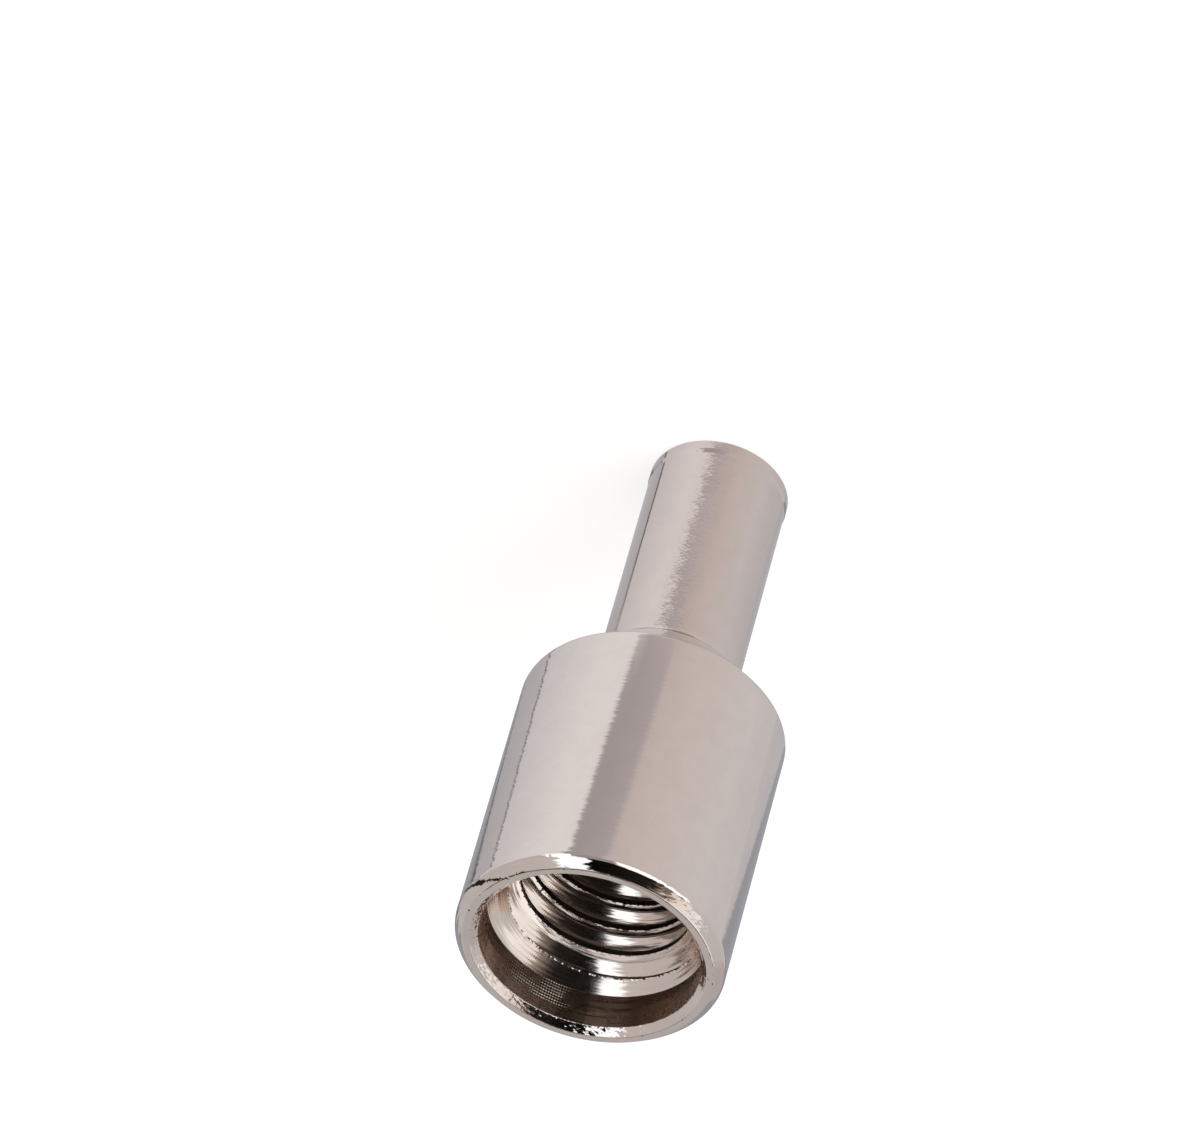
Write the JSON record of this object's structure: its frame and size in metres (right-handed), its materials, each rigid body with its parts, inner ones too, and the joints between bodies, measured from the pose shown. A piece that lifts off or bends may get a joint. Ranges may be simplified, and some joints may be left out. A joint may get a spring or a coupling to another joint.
{
  "type": "speaker plug barrel",
  "caption": "Turned metal screw-on barrel of a speaker plug: a wide body with an internally threaded mouth, a cone shoulder and a narrow tail that the cable passes through.",
  "frame": {"origin": "on the turning axis, at the flat end of the narrow tail", "axes": "+Z along the turning axis, from the tail to the threaded mouth; +X is where the thread's groove starts, deep in the bore"},
  "size_m": [0.01, 0.01, 0.0239],
  "materials": {
    "nickel_plated_brass": "polished"
  },
  "bodies": {
    "root": {"plug_barrel": "nickel_plated_brass"}
  },
  "joints": []
}
